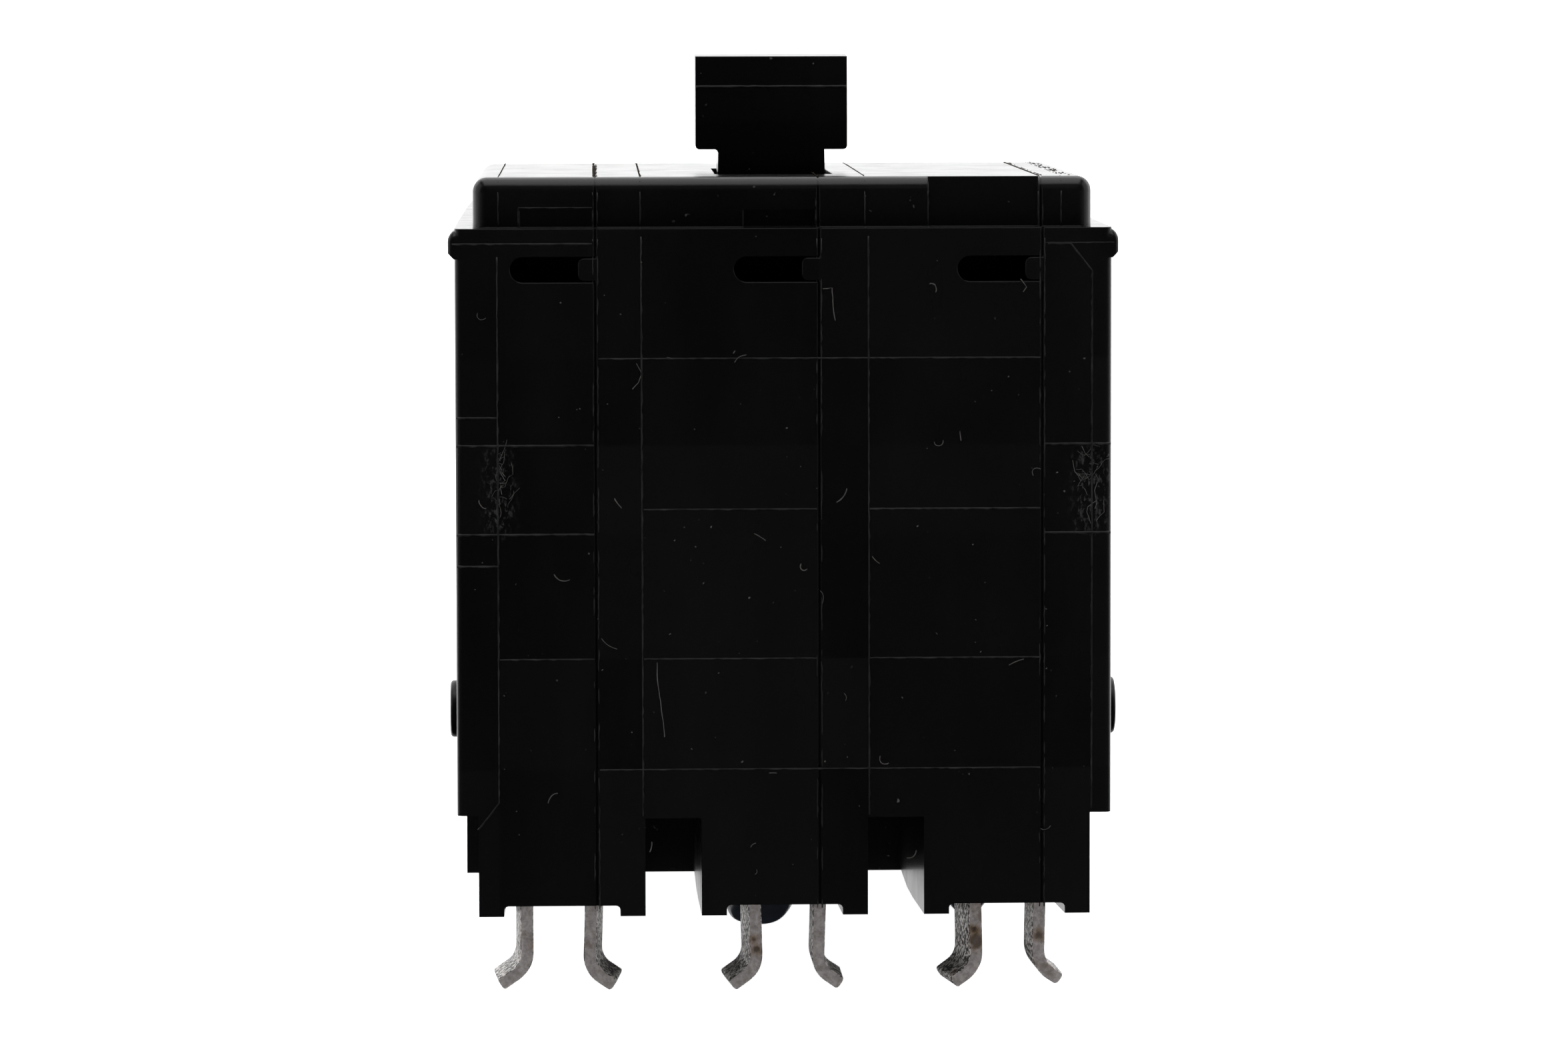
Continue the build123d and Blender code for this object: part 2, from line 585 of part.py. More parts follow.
PER_POLE = {
    "arc_plates": arc_plates,
    "contact_arm": contact_arm,
    "moving_contact": moving_contact,
    "main_spring": main_spring,
    "flex_braid": flex_braid,
    "cradle": cradle,
    "bimetal": bimetal,
    "magnet_yoke": magnet_yoke,
    "armature": armature,
    "load_strap": load_strap,
    "box_lug": box_lug,
    "terminal_screw": terminal_screw,
}
for number, pole in enumerate(POLES):
    save(line_jaw(number), f"line_jaw_{number + 1}")
    fixed = contact_button(pole, FIXED_FACE - CONTACT_T, FIXED_FACE, CONTACT_Z)
    save(fixed, f"fixed_contact_{number + 1}")
    for name, make in PER_POLE.items():
        save(make(pole), f"{name}_{number + 1}")

# ---- small identical pieces, one group each ------------------------------------------------------------
for name, pivot in (("arm_pins", ARM_PIVOT), ("cradle_pins", CRADLE_PIVOT)):
    with BuildPart() as pins:
        for pole in POLES:
            rod(around(pole, PIN_REACH), pivot, PIN_R)
    save(pins, name)

SCREW_BOTTOM = 9.4
with BuildPart() as calibration_screws:
    for pole in POLES:
        post(pole, CALIBRATION_Y, (SCREW_BOTTOM, CHAMBER_FLOOR), 1.5)
        slot = (SCREW_BOTTOM - 1, SCREW_BOTTOM + 0.8)
        block(around(pole, 2), around(CALIBRATION_Y, 0.3), slot, Mode.SUBTRACT)
save(calibration_screws, "calibration_screws")

# sealing compound set over each calibration screw: offset, radius and lowest point
SEAL_DROPS = ((0.3, 2.9, 5.2), (-1.1, 3.5, 1.8), (-1.75, 2.3, 2.6))
SEAL_ROOF = 7.6
with BuildPart() as seal_drops:
    for pole, (offset_x, radius, bottom) in zip(POLES, SEAL_DROPS):
        post(pole + offset_x, CALIBRATION_Y, (bottom, SEAL_ROOF), radius)
        lowest = seal_drops.faces().filter_by_position(Axis.Z, bottom - 0.1, bottom + 0.1)
        fillet(lowest.edges(), min(radius, SEAL_ROOF - bottom) - 0.4)
save(seal_drops, "seal_drops")
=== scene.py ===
"""Looks of the three-pole plug-on breaker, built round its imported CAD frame.

Everything is in metres in the frame's own axes: +X across the poles, -Y the line end that
the camera sees, +Z up. MM turns the millimetres used for small sizes into metres.
"""

import json
import math
import random

import bmesh
import bpy
from mathutils import Matrix, Vector, noise


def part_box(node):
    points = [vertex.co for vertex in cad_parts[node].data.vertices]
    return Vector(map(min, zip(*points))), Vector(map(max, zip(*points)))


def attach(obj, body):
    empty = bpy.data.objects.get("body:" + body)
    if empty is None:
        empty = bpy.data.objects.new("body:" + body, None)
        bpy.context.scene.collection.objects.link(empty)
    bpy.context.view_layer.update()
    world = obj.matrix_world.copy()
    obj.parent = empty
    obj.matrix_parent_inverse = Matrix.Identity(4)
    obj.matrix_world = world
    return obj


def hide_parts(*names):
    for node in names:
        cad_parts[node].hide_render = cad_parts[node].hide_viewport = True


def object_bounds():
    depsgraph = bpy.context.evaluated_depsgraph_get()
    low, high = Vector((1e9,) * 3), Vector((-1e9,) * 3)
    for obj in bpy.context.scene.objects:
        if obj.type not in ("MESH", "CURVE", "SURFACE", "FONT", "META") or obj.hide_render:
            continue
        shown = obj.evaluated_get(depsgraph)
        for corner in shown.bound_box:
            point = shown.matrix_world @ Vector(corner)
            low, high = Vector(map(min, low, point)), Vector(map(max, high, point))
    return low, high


MM = 0.001
# heights in this file are in mm from a datum that stands this far above the floor
DATUM = 0.6
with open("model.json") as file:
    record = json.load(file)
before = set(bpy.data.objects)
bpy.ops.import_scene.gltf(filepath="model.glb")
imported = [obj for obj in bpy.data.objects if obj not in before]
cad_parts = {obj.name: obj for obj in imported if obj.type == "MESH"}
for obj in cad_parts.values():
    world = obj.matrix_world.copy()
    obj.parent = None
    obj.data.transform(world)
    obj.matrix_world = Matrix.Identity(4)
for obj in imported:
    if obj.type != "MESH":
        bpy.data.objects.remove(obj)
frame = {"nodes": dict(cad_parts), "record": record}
CAD_LOW, CAD_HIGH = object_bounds()
NODES = frame["nodes"]
LINE_END = CAD_LOW[1]


# ---- node helpers --------------------------------------------------------------------
def material(name):
    """New node material, with its shader and node tree."""
    made = bpy.data.materials.new(name)
    made.use_nodes = True
    return made, made.node_tree.nodes["Principled BSDF"], made.node_tree


def node(tree, kind, inputs=None, **settings):
    """Adds a node; inputs are sockets to link or plain values."""
    made = tree.nodes.new(kind)
    for key, value in settings.items():
        setattr(made, key, value)
    for key, value in (inputs or {}).items():
        if isinstance(value, bpy.types.NodeSocket):
            tree.links.new(value, made.inputs[key])
        else:
            made.inputs[key].default_value = value
    return made


def place_mm(tree, stretch=(1, 1, 1), shift=(0, 0, 0)):
    """Coordinates in mm, with Z from the datum, stretched and shifted for a texture."""
    coords = node(tree, "ShaderNodeTexCoord").outputs["Object"]
    scale = tuple(s / MM for s in stretch)
    shift = (shift[0], shift[1], shift[2] - DATUM * stretch[2])
    inputs = {"Vector": coords, "Scale": scale, "Location": shift}
    return node(tree, "ShaderNodeMapping", inputs).outputs[0]


def grain(tree, vector, size, detail=3.0, rough=0.5):
    """Noise whose blobs are about size millimetres."""
    inputs = {"Vector": vector, "Scale": 1.0 / size, "Detail": detail, "Roughness": rough}
    return node(tree, "ShaderNodeTexNoise", inputs).outputs["Fac"]


def step(tree, value, low, high, out_low=0.0, out_high=1.0):
    """Smooth ramp of a value from low to high."""
    inputs = {"Value": value, "From Min": low, "From Max": high}
    inputs.update({"To Min": out_low, "To Max": out_high})
    return node(tree, "ShaderNodeMapRange", inputs, interpolation_type="SMOOTHSTEP").outputs[0]


def maths(tree, operation, first, second=0.0):
    """One math node on sockets or numbers."""
    return node(tree, "ShaderNodeMath", {0: first, 1: second}, operation=operation).outputs[0]


def blend_colour(tree, amount, first, second):
    """Mix of two colours, given as sockets or RGB triples, by an amount socket."""
    made = node(tree, "ShaderNodeMix", data_type="RGBA")
    tree.links.new(amount, made.inputs[0])
    for index, value in ((6, first), (7, second)):
        if isinstance(value, bpy.types.NodeSocket):
            tree.links.new(value, made.inputs[index])
        else:
            made.inputs[index].default_value = (*value, 1)
    return made.outputs[2]


def bump(tree, shader, layers, edge=0.0):
    """Chains (height socket, depth in millimetres) layers, with rounded edges under them."""
    normal = None
    if edge:
        normal = node(tree, "ShaderNodeBevel", {"Radius": edge * MM}, samples=4).outputs[0]
    for height, depth in layers:
        inputs = {"Height": height, "Distance": depth * MM, "Strength": 1.0}
        if normal:
            inputs["Normal"] = normal
        normal = node(tree, "ShaderNodeBump", inputs).outputs[0]
    tree.links.new(normal, shader.inputs["Normal"])


def patch(tree, centre, half, soft):
    """1 inside a box of the frame given in millimetres, 0 outside, with a soft edge."""
    coords = node(tree, "ShaderNodeSeparateXYZ", {"Vector": place_mm(tree)})
    inside = None
    for axis, middle, reach in zip("XYZ", centre, half):
        if reach is None:
            continue
        away = maths(tree, "ABSOLUTE", maths(tree, "SUBTRACT", coords.outputs[axis], middle))
        near = step(tree, away, reach - soft, reach + soft, 1.0, 0.0)
        inside = maths(tree, "MULTIPLY", inside, near) if inside else near
    return inside


def cell_tone(tree, columns, rows):
    """A random value for each cell that the mould lines X and Z cut the end face into."""
    place = node(tree, "ShaderNodeSeparateXYZ", {"Vector": place_mm(tree)})
    total = None
    for axis, lines, weight in (("X", columns, 1.0), ("Z", rows, 11.3)):
        for line in lines:
            beyond = maths(tree, "GREATER_THAN", place.outputs[axis], line)
            past = maths(tree, "MULTIPLY", beyond, weight)
            total = maths(tree, "ADD", total, past) if total else past
    white = node(tree, "ShaderNodeTexWhiteNoise", {"W": total}, noise_dimensions="1D")
    return white.outputs["Value"]


# ---- materials -----------------------------------------------------------------------
BLACK, GREYED = (0.0013, 0.0012, 0.0013), (0.0022, 0.0020, 0.0021)
PALER, DUST, SCUFFED = (0.0055, 0.0052, 0.0054), (0.05, 0.048, 0.045), (0.06, 0.06, 0.062)
MOULDING_IOR, MOULDING_EDGE = 1.33, 0.16
# X and Z of the lines that part the end face into cells of slightly different tone
COLUMNS = (-24.4, -16.05, -12.1, 3.0, 7.2, 22.05, 26.3)
ROWS = (19.0, 28.5, 39.2, 46.8, 54.2)
# middle and half size of the scuffed patches; None leaves an axis open
SCUFFS = (((-24.3, None, 42.8), (0.9, None, 3.4)), ((26.2, None, 42.8), (1.1, None, 3.4)))


def black_moulding(name, scuffs=()):
    """Satin black thermoset: faint flow marks, fine pitting, dust specks and scuffs."""
    made, shader, tree = material(name)
    coords = place_mm(tree)
    flow = grain(tree, place_mm(tree, (1, 1, 0.35)), 9.0, 4.0, 0.6)
    body = blend_colour(tree, step(tree, flow, 0.35, 0.7), BLACK, GREYED)
    tone = step(tree, cell_tone(tree, COLUMNS, ROWS), 0.0, 1.0, 0.0, 0.3)
    body = blend_colour(tree, tone, body, PALER)
    specks = step(tree, grain(tree, coords, 0.55, 1.0), 0.74, 0.79)
    scarce = step(tree, grain(tree, coords, 6.0, 2.0), 0.5, 0.62)
    body = blend_colour(tree, maths(tree, "MULTIPLY", specks, scarce), body, DUST)
    worn = None
    for centre, half in scuffs:
        rubbed = step(tree, grain(tree, place_mm(tree, (1, 1, 0.5)), 0.45, 4.0, 0.75), 0.5, 0.66)
        mark = maths(tree, "MULTIPLY", patch(tree, centre, half, 1.2), rubbed)
        worn = maths(tree, "MAXIMUM", worn, mark) if worn else mark
    if worn:
        body = blend_colour(tree, maths(tree, "MULTIPLY", worn, 0.55), body, SCUFFED)
    tree.links.new(body, shader.inputs["Base Color"])
    cloud = grain(tree, place_mm(tree, (1, 1, 0.5)), 4.0, 2.0, 0.5)
    tree.links.new(step(tree, cloud, 0.2, 0.85, 0.235, 0.28), shader.inputs["Roughness"])
    shader.inputs["IOR"].default_value = MOULDING_IOR
    layers = [(grain(tree, coords, 0.22, 2.0), 0.004), (grain(tree, coords, 2.6, 2.0), 0.012)]
    if worn:
        layers.append((worn, 0.03))
    bump(tree, shader, layers, MOULDING_EDGE)
    return made


def flash_with_painted_highlight():
    """Thin moulding flash: rubbed, so greyer than the faces it stands on, and lighter still as a
    painted highlight of the light its ridges catch.
    """
    made, shader, tree = material("moulding_flash_painted_highlight")
    cloud = step(tree, grain(tree, place_mm(tree), 1.3, 3.0, 0.7), 0.35, 0.7)
    # partly the flash's own grey, partly a painted highlight for the light the ridges catch
    tone = blend_colour(tree, cloud, (0.003, 0.0028, 0.0029), (0.0125, 0.0115, 0.0118))
    tree.links.new(tone, shader.inputs["Base Color"])
    shader.inputs["Roughness"].default_value = 0.55
    bump(tree, shader, [(grain(tree, place_mm(tree), 0.2, 2.0), 0.01)])
    return made


def grime():
    """Dull dark dirt packed along the lines of the nose's top."""
    made, shader, tree = material("grime")
    cloud = grain(tree, place_mm(tree), 0.6, 2.0)
    tone = blend_colour(tree, cloud, (0.012, 0.009, 0.007), (0.05, 0.04, 0.033))
    tree.links.new(tone, shader.inputs["Base Color"])
    shader.inputs["Roughness"].default_value = 1.0
    shader.inputs["Specular IOR Level"].default_value = 0.0
    return made


def lint():
    """Dust and hairs left on the case."""
    made, shader, tree = material("lint")
    cloud = grain(tree, place_mm(tree), 0.8, 2.0)
    tone = blend_colour(tree, cloud, (0.02, 0.019, 0.018), (0.07, 0.067, 0.062))
    tree.links.new(tone, shader.inputs["Base Color"])
    shader.inputs["Roughness"].default_value = 0.9
    return made


# stains on the jaws: place and radius in mm, how dark
STAINS = (
    ((-2.62, -37.8, 4.0), 0.3, 0.9), ((-2.4, -37.8, 3.1), 0.45, 0.8),
    ((16.35, -37.8, 4.7), 0.42, 1.0), ((16.55, -37.8, 3.75), 0.75, 0.7),
    ((21.9, -37.8, 4.2), 0.5, 0.75), ((-21.6, -37.6, 3.55), 0.22, 0.9),
)


def tin_plate(name):
    """Dull tin: smoother on the stamped edges, dark and grainy on the rolled faces."""
    made, shader, tree = material(name)
    coords = place_mm(tree)
    normal = node(tree, "ShaderNodeTexCoord").outputs["Normal"]
    parts = node(tree, "ShaderNodeSeparateXYZ", {"Vector": normal})
    facing = maths(tree, "ABSOLUTE", parts.outputs["Y"])
    rolled = step(tree, facing, 0.45, 0.8, 1.0, 0.0)
    mottle = step(tree, grain(tree, coords, 0.5, 5.0, 0.7), 0.3, 0.75)
    edge_tone = blend_colour(tree, mottle, (0.21, 0.19, 0.183), (0.4, 0.37, 0.362))
    dots = step(tree, grain(tree, coords, 0.3, 2.0, 0.6), 0.48, 0.54)
    face_tone = blend_colour(tree, dots, (0.025, 0.021, 0.018), (0.6, 0.57, 0.55))
    tone = blend_colour(tree, rolled, edge_tone, face_tone)
    cloud = grain(tree, place_mm(tree, shift=(3.1, 7.7, 1.3)), 1.7, 3.0, 0.6)
    brown = maths(tree, "MULTIPLY", step(tree, cloud, 0.58, 0.7), 0.45)
    tone = blend_colour(tree, brown, tone, (0.12, 0.075, 0.04))
    ragged = maths(tree, "MULTIPLY", grain(tree, coords, 0.6, 3.0, 0.6), 0.7)
    for place, radius, depth in STAINS:
        away = node(tree, "ShaderNodeVectorMath", {0: coords, 1: place}, operation="DISTANCE")
        spread = maths(tree, "ADD", away.outputs["Value"], ragged)
        halo = step(tree, spread, radius + 0.1, radius + 0.75, 0.75 * depth, 0.0)
        tone = blend_colour(tree, halo, tone, (0.16, 0.085, 0.03))
        core = step(tree, spread, radius, radius + 0.35, 0.95 * depth, 0.0)
        tone = blend_colour(tree, core, tone, (0.035, 0.022, 0.014))
    tree.links.new(tone, shader.inputs["Base Color"])
    shader.inputs["Metallic"].default_value = 0.4
    tree.links.new(step(tree, mottle, 0, 1, 0.55, 0.4), shader.inputs["Roughness"])
    pitted = maths(tree, "MULTIPLY", dots, rolled)
    bump(tree, shader, [(grain(tree, coords, 0.14, 3.0), 0.012), (pitted, 0.03)], 0.1)
    return made


def metal(name, colour, rough):
    """Plain metal with fine scratches and uneven sheen."""
    made, shader, tree = material(name)
    coords = place_mm(tree)
    cloud = step(tree, grain(tree, coords, 1.4, 4.0, 0.6), 0.3, 0.7)
    darker = tuple(0.7 * c for c in colour)
    tree.links.new(blend_colour(tree, cloud, darker, colour), shader.inputs["Base Color"])
    shader.inputs["Metallic"].default_value = 1.0
    scratches = grain(tree, place_mm(tree, (0.15, 1, 1)), 0.12, 3.0, 0.6)
    sheen = step(tree, scratches, 0.3, 0.7, rough - 0.08, rough + 0.1)
    tree.links.new(sheen, shader.inputs["Roughness"])
    bump(tree, shader, [(scratches, 0.004)], 0.1)
    return made


def plain_plastic(name, colour, rough):
    """Matte moulded plastic with a little mottling."""
    made, shader, tree = material(name)
    cloud = grain(tree, place_mm(tree), 1.1, 3.0)
    darker = tuple(0.8 * c for c in colour)
    tree.links.new(blend_colour(tree, cloud, darker, colour), shader.inputs["Base Color"])
    shader.inputs["Roughness"].default_value = rough
    bump(tree, shader, [(grain(tree, place_mm(tree), 0.3, 2.0), 0.005)], 0.1)
    return made


def seal_compound():
    """Glossy blue-black resin."""
    made, shader, tree = material("seal_compound")
    cloud = grain(tree, place_mm(tree), 1.6, 2.0)
    tone = blend_colour(tree, cloud, (0.004, 0.0055, 0.009), (0.008, 0.011, 0.017))
    tree.links.new(tone, shader.inputs["Base Color"])
    shader.inputs["Roughness"].default_value = 0.27
    bump(tree, shader, [(cloud, 0.15)])
    return made


def clear_window():
    """Clear lens with a faint haze."""
    made, shader, tree = material("window_clear")
    haze = step(tree, grain(tree, place_mm(tree), 1.0, 2.0), 0.3, 0.8, 0.05, 0.16)
    tree.links.new(haze, shader.inputs["Roughness"])
    shader.inputs["Base Color"].default_value = (0.95, 0.96, 0.96, 1)
    shader.inputs["Transmission Weight"].default_value = 1.0
    shader.inputs["IOR"].default_value = 1.49
    return made


FINISHES = {
    "case_moulding": black_moulding("case_moulding", SCUFFS),
    "handle_moulding": black_moulding("handle_moulding"),
    "tin_plate": tin_plate("tin_plate"),
    "copper": metal("copper", (0.62, 0.33, 0.2), 0.36),
    "dark_steel": metal("dark_steel", (0.035, 0.034, 0.036), 0.42),
    "silver_contact": metal("silver_contact", (0.72, 0.71, 0.68), 0.4),
    "zinc_steel": metal("zinc_steel", (0.5, 0.5, 0.5), 0.38),
    "lug_aluminium": metal("lug_aluminium", (0.62, 0.62, 0.63), 0.33),
    "flag_red": plain_plastic("flag_red", (0.55, 0.03, 0.015), 0.45),
    "window_clear": clear_window(),
    "trip_bar_plastic": plain_plastic("trip_bar_plastic", (0.2, 0.15, 0.1), 0.6),
    "seal_compound": seal_compound(),
}
for part in frame["record"]["subparts"]:
    shown = NODES[part["node"]].data
    shown.materials.clear()
    shown.materials.append(FINISHES[part["material_slot"]])


# ---- shared mesh builders -------------------------------------------------------------
def finish_piece(bm, name, body, paint):
    """Turns millimetre mesh data, with heights from the datum, into a piece on a body."""
    bmesh.ops.recalc_face_normals(bm, faces=bm.faces)
    bmesh.ops.translate(bm, vec=(0, 0, DATUM), verts=bm.verts)
    bmesh.ops.scale(bm, vec=(MM, MM, MM), verts=bm.verts)
    mesh = bpy.data.meshes.new(name)
    bm.to_mesh(mesh)
    bm.free()
    piece = bpy.data.objects.new(name, mesh)
    bpy.context.collection.objects.link(piece)
    mesh.materials.append(paint)
    for face in mesh.polygons:
        face.use_smooth = True
    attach(piece, body)
    return piece


def loft(bm, sections):
    """Skins a row of closed sections, each a list of points, and closes both ends."""
    rings = [[bm.verts.new(point) for point in section] for section in sections]
    count = len(rings[0])
    for one, two in zip(rings, rings[1:]):
        for i in range(count):
            bm.faces.new((one[i], one[(i + 1) % count], two[(i + 1) % count], two[i]))
    bm.faces.new(list(reversed(rings[0])))
    bm.faces.new(rings[-1])


def walk(points, pitch):
    """Points of a run of straight stretches, about a pitch apart, with their directions."""
    for start, end in zip(points, points[1:]):
        start, end = Vector(start), Vector(end)
        count = max(1, round((end - start).length / pitch))
        for i in range(count):
            yield start.lerp(end, i / count), (end - start).normalized()
    yield end, (end - start).normalized()


RIDGE_PITCH, RIDGE_ROOT = 0.45, 0.03


def ridge(bm, points, out, width=0.2, rise=0.05, wander=0.03, broken=0.0):
    """Low irregular bead along a run of points on a face whose outward normal is given."""
    out = Vector(out)
    sections, seed = [], points[0][0] + 3.7 * points[0][2]
    for centre, along in walk(points, RIDGE_PITCH):
        side = along.cross(out).normalized()
        rough = noise.noise(centre * 1.7 + Vector((seed, 0, 0)))
        fine = noise.noise(centre * 5.0 + Vector((0, seed, 0)))
        middle = centre + side * wander * (rough + fine)
        half = width / 2 * (1 + 0.35 * fine)
        high = rise * max(0.1, 0.55 + 0.8 * rough + 0.5 * fine)
        if broken and noise.noise(centre * 0.8 + Vector((0, 0, seed))) < broken:
            high, half = -0.01, half * 0.4
        sections.append([
            middle - side * half - out * RIDGE_ROOT,
            middle - side * half * 0.35 + out * high,
            middle + side * half * 0.35 + out * high,
            middle + side * half - out * RIDGE_ROOT,
        ])
    loft(bm, sections)


FRONT, UP = (0, -1, 0), (0, 0, 1)
# in Y the end face and the nose's front and back; in Z the shoulder's top and the nose's
END_Y, NOSE_Y, NOSE_BACK, TOP_Z, NOSE_Z = -39.6, -37.6, 5.4, 65.3, 69.6
# how far behind the nose's front its rounded edge bends, and where it ends
NOSE_BEND, NOSE_ROUND = 0.37, 1.25
SEAMS = (-16.05, 3.0, 22.05)
# level lines on the end face: X from, X to, height, rise
LEVEL_LINES = (
    (-15.8, 21.9, 54.2, 0.05), (-12.0, 2.8, 41.3, 0.05), (7.3, 21.9, 41.3, 0.06),
    (-24.3, -16.2, 28.5, 0.05), (-12.0, 2.8, 28.5, 0.05), (7.3, 21.9, 28.5, 0.05),
    (-15.8, 21.9, 19.0, 0.045), (-27.9, -24.4, 49.2, 0.05), (-27.9, -16.2, 46.8, 0.07),
    (-27.9, -16.2, 39.2, 0.07), (-27.9, -24.4, 36.5, 0.06), (22.2, 27.9, 46.8, 0.07),
    (22.2, 27.9, 39.2, 0.07), (-28.2, -16.3, 64.0, 0.05), (22.2, 28.2, 64.0, 0.03),
)
NOSE_LINES = (-24.3, -12.2, 7.0, 12.4, 23.8)
# dirt lines along the nose's top: X, width, how broken
GRIME_LINES = (
    (-24.3, 0.14, 0.0), (SEAMS[0] - 0.12, 0.3, -0.05), (SEAMS[0] + 0.14, 0.16, 0.1),
    (-12.2, 0.2, 0.0), (SEAMS[1], 0.16, 0.1), (7.0, 0.14, 0.0),
    (SEAMS[2] - 0.1, 0.24, 0.0), (SEAMS[2] + 0.2, 0.12, 0.1),
    (24.0, 0.12, 0.1), (24.35, 0.3, 0.12), (24.7, 0.2, 0.15),
)
# the handle's pivot Y, half thickness and lean in degrees
PIVOT_Y, GRIP_HALF, HANDLE_LEAN = -20.5, 2.9, 2.0
# its parting line: height over the pivot, height, how far it is let into the grip
PARTING_RISE, PARTING_Z, PARTING_SINK = 24.6, 77.1, 0.19


def add_flash():
    """Lines that the mould inserts leave on the end face and the nose."""
    bm = bmesh.new()

    def face_run(*points, **how):
        ridge(bm, [(x, END_Y, z) for x, z in points], FRONT, **how)

    face_run((-26.2, 13.9), (-24.4, 16.2), (-24.4, 62.9))
    face_run((-12.1, 15.0), (-12.15, 64.6))
    face_run((7.25, 15.0), (7.2, 64.6))
    face_run((22.5, 63.9), (24.5, 63.9), (26.3, 61.6), (26.3, 15.4))
    for x_from, x_to, height, rise in LEVEL_LINES:
        face_run((x_from, height), (x_to, height), rise=rise, width=2.6 * rise + 0.06)
    for seam in SEAMS:
        for side in (-0.2, 0.2):
            x = seam + side
            face_run((x, 7.0), (x, 64.4), width=0.14, rise=0.04, broken=0.02 - side)
            run = [(x, NOSE_Y, 65.6), (x, NOSE_Y, 68.3)]
            ridge(bm, run, FRONT, width=0.14, rise=0.04, broken=-0.1)
    for x in NOSE_LINES:
        upright = [(x, NOSE_Y, 65.5), (x, NOSE_Y, 68.35)]
        ridge(bm, upright, FRONT, width=0.16, rise=0.04)
        lower = [(x, NOSE_Y, 68.2), (x, NOSE_Y + NOSE_BEND, 69.23)]
        ridge(bm, lower, (0, -0.9, 0.4), width=0.16, rise=0.04)
        upper = [(x, NOSE_Y + 0.33, 69.2), (x, NOSE_Y + NOSE_ROUND, NOSE_Z)]
        ridge(bm, upper, (0, -0.4, 0.9), width=0.16, rise=0.04)
        ridge(bm, [(x, END_Y + 0.7, TOP_Z), (x, NOSE_Y, TOP_Z)], UP, width=0.16, rise=0.03)
    box = [(-22.6, 65.4), (-22.6, 67.0), (-16.3, 67.0)]
    ridge(bm, [(x, NOSE_Y, z) for x, z in box], FRONT, width=0.14, rise=0.04)
    finish_piece(bm, "case_flash", "case", FLASH_WITH_HIGHLIGHT)


def add_grime():
    """Dirt along the lines of the nose's top."""
    bm = bmesh.new()
    for x, width, broken in GRIME_LINES:
        run = [(x, NOSE_Y + 1.2, NOSE_Z), (x, NOSE_BACK - 1.3, NOSE_Z)]
        ridge(bm, run, UP, width=width, rise=0.07, wander=0.05, broken=broken)
    finish_piece(bm, "case_grime", "case", GRIME)


def add_handle_line():
    """Parting line across the handle's grip."""
    bm = bmesh.new()
    low, high = (Vector(corner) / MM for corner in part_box("handle"))
    lean = PARTING_RISE * math.sin(math.radians(HANDLE_LEAN))
    front_y = PIVOT_Y - GRIP_HALF - lean + PARTING_SINK
    run = [(low.x + 0.05, front_y, PARTING_Z), (high.x - 0.05, front_y, PARTING_Z)]
    ridge(bm, run, FRONT, width=0.22, rise=0.06)
    finish_piece(bm, "handle_flash", "handle", FLASH_WITH_HIGHLIGHT)


# long scratches on the end face, as runs of (X, Z)
SCRATCHES = (
    ((-10.9, 28.2), (-10.8, 26.2), (-10.5, 24.0), (-10.25, 21.8)),
    ((-12.6, 53.8), (-12.1, 52.9), (-12.4, 52.2), (-12.9, 51.6)),
    ((3.3, 60.1), (4.1, 60.2), (4.2, 58.6), (4.35, 57.4)),
    ((20.2, 60.9), (20.7, 60.2), (20.4, 59.8)),
    ((15.0, 47.9), (15.1, 47.1)),
)
# scribbled scuffs: middle X and how far they spread
SCRIBBLES = ((-24.2, 0.55), (26.2, 0.8))
HAIRS, HAIR_STEPS, STROKES, FLECKS = 26, 8, 13, 46


def add_lint():
    """Hairs, flakes of dust and scratches on the end face."""
    draw = random.Random(11)
    bm = bmesh.new()
    for _ in range(HAIRS):
        place = Vector((draw.uniform(-27, 27), END_Y - 0.02, draw.uniform(9, 63)))
        heading, curl = draw.uniform(0, math.tau), draw.uniform(-0.9, 0.9)
        half, length = draw.uniform(0.025, 0.05), draw.uniform(0.5, 1.9)
        run = []
        for _ in range(HAIR_STEPS):
            run.append(tuple(place))
            onward = Vector((math.cos(heading), 0, math.sin(heading)))
            place = place + onward * length / HAIR_STEPS
            heading += curl * draw.uniform(0.2, 0.8)
        ridge(bm, run, FRONT, width=2.2 * half, rise=0.04, wander=0.0)
    for run in SCRATCHES:
        ridge(bm, [(x, END_Y, z) for x, z in run], FRONT, width=0.11, rise=0.04, wander=0.05)
    for middle, across in SCRIBBLES:
        for _ in range(STROKES):
            x, z = draw.gauss(middle, across * 0.6), draw.uniform(39.9, 46.0)
            run = [(x, END_Y, z)]
            for _ in range(draw.randrange(2, 5)):
                x += draw.uniform(-across, across)
                z += draw.uniform(-0.2, 1.1)
                run.append((min(max(x, middle - 1.6), middle + 1.6), END_Y, z))
            ridge(bm, run, FRONT, width=draw.uniform(0.04, 0.09), rise=0.02, wander=0.08)
    for _ in range(FLECKS):
        x, z, size = draw.uniform(-27, 27), draw.uniform(9, 63), draw.uniform(0.05, 0.14)
        fleck = [(x, END_Y, z), (x + size, END_Y, z + draw.uniform(-1, 1) * size)]
        ridge(bm, fleck, FRONT, width=size, rise=0.04)
    finish_piece(bm, "case_lint", "case", LINT)


